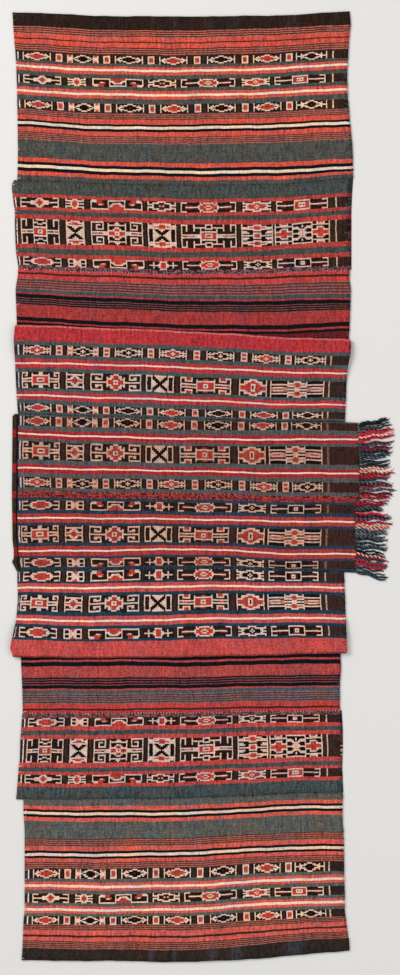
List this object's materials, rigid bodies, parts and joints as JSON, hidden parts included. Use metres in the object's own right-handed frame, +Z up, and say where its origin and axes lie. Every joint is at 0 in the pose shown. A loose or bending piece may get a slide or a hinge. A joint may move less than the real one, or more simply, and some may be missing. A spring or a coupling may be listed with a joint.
{
  "type": "ikat cloth",
  "caption": "Long ikat tube cloth of narrow loom panels sewn edge to edge, with two flat tucks and a fringe, laid flat in two layers.",
  "frame": {"origin": "on the surface that the cloth lies on, under the middle of its whole box", "axes": "+X across the cloth towards the fringe, +Y up its length towards the upper hem, +Z up from the surface"},
  "size_m": [0.6358, 1.5674, 0.0089],
  "materials": {
    "bright_cloth": "hand-spun cotton, warp faced, orange-red, teal and cream stripes with dark ikat bands",
    "teal_cloth": "hand-spun cotton, warp faced, dark teal with red stripes and dark ikat bands",
    "crimson_cloth": "hand-spun cotton, warp faced, crimson, black and grey stripes with dark ikat bands",
    "blue_cloth": "hand-spun cotton, warp faced, indigo and crimson stripes with dark ikat bands",
    "fringe_yarn": "loosely twisted warp ends, red, white and blue"
  },
  "bodies": {
    "root": {"hem_panel_upper": "bright_cloth", "band_panel_upper": "teal_cloth", "tuck_panel_upper": "crimson_cloth", "fringed_panel_upper": "crimson_cloth", "fringed_panel_lower": "blue_cloth", "tuck_panel_lower": "blue_cloth", "band_panel_lower": "teal_cloth", "hem_panel_lower": "bright_cloth", "fringe_front_upper": "fringe_yarn", "fringe_back_upper": "fringe_yarn", "fringe_front_lower": "fringe_yarn", "fringe_back_lower": "fringe_yarn"}
  },
  "joints": []
}
